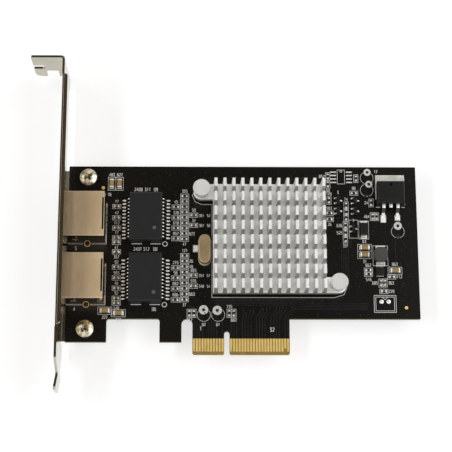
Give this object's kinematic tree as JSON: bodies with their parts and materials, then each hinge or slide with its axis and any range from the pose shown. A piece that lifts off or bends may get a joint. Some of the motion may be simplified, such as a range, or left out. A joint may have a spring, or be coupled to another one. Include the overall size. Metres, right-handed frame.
{
  "type": "network interface card",
  "caption": "Low-profile-height plug-in network card: two shielded network ports on a full-height folded bracket, finned heatsink, four-lane edge connector.",
  "frame": {"origin": "top (component) face of the board, on the centre line of the key notch of the edge connector, at the bottom edge of the fingers", "axes": "+X along the board away from the bracket, +Y from the edge connector to the top edge of the board, +Z out of the component side"},
  "size_m": [0.1388, 0.1201, 0.0215],
  "materials": {
    "nickel_steel": "nickel-plated sheet steel",
    "screw_steel": "nickel-plated screw",
    "solder_mask": "black solder mask over glass-fibre laminate, printed white outlines",
    "gold": "gold-plated contacts",
    "port_metal": "nickel-plated brass sheet",
    "port_plastic": "moulded black plastic",
    "contact_gold": "gold-plated spring wires",
    "lamp_clear": "clear lamp windows",
    "module_black": "moulded black epoxy",
    "tin": "tin-plated leads",
    "chip_black": "moulded black package",
    "pad_grey": "soft thermal pad",
    "extruded_aluminium": "extruded, cross-cut, bead-blasted bare aluminium",
    "nylon": "white nylon",
    "spring_steel": "spring wire",
    "crystal_metal": "drawn nickel-plated can",
    "ferrite": "moulded ferrite",
    "ceramic_tan": "fired ceramic",
    "ceramic_grey": "fired ceramic",
    "resistor_black": "coated ceramic"
  },
  "bodies": {
    "root": {"bracket": "nickel_steel", "bracket_screw_upper": "screw_steel", "bracket_screw_lower": "screw_steel", "circuit_board": "solder_mask", "edge_contacts_front": "gold", "edge_contacts_back": "gold", "port_shield_upper": "port_metal", "port_shield_lower": "port_metal", "port_housing_upper": "port_plastic", "port_housing_lower": "port_plastic", "port_contacts_upper": "contact_gold", "port_contacts_lower": "contact_gold", "port_lamps_upper": "lamp_clear", "port_lamps_lower": "lamp_clear", "transformer_upper": "module_black", "transformer_lower": "module_black", "transformer_leads_upper": "tin", "transformer_leads_lower": "tin", "controller_chip": "chip_black", "thermal_pad": "pad_grey", "heatsink": "extruded_aluminium", "heatsink_pin_left": "nylon", "heatsink_pin_right": "nylon", "heatsink_spring_left": "spring_steel", "heatsink_spring_right": "spring_steel", "crystal_can": "crystal_metal", "crystal_base": "port_plastic", "crystal_terminals": "tin", "regulator_body": "chip_black", "regulator_tab": "tin", "regulator_leads": "tin", "power_inductor": "ferrite", "power_inductor_terminals": "tin", "rectifier_diode": "module_black", "rectifier_terminals": "tin", "converter_chip": "chip_black", "transistors": "chip_black", "transistor_leads": "tin", "large_capacitors": "ceramic_tan", "large_capacitor_caps": "tin", "small_capacitors": "ceramic_grey", "small_capacitor_caps": "tin", "resistors": "resistor_black", "resistor_caps": "tin", "rear_capacitors": "ceramic_tan", "rear_capacitor_caps": "tin"}
  },
  "joints": []
}
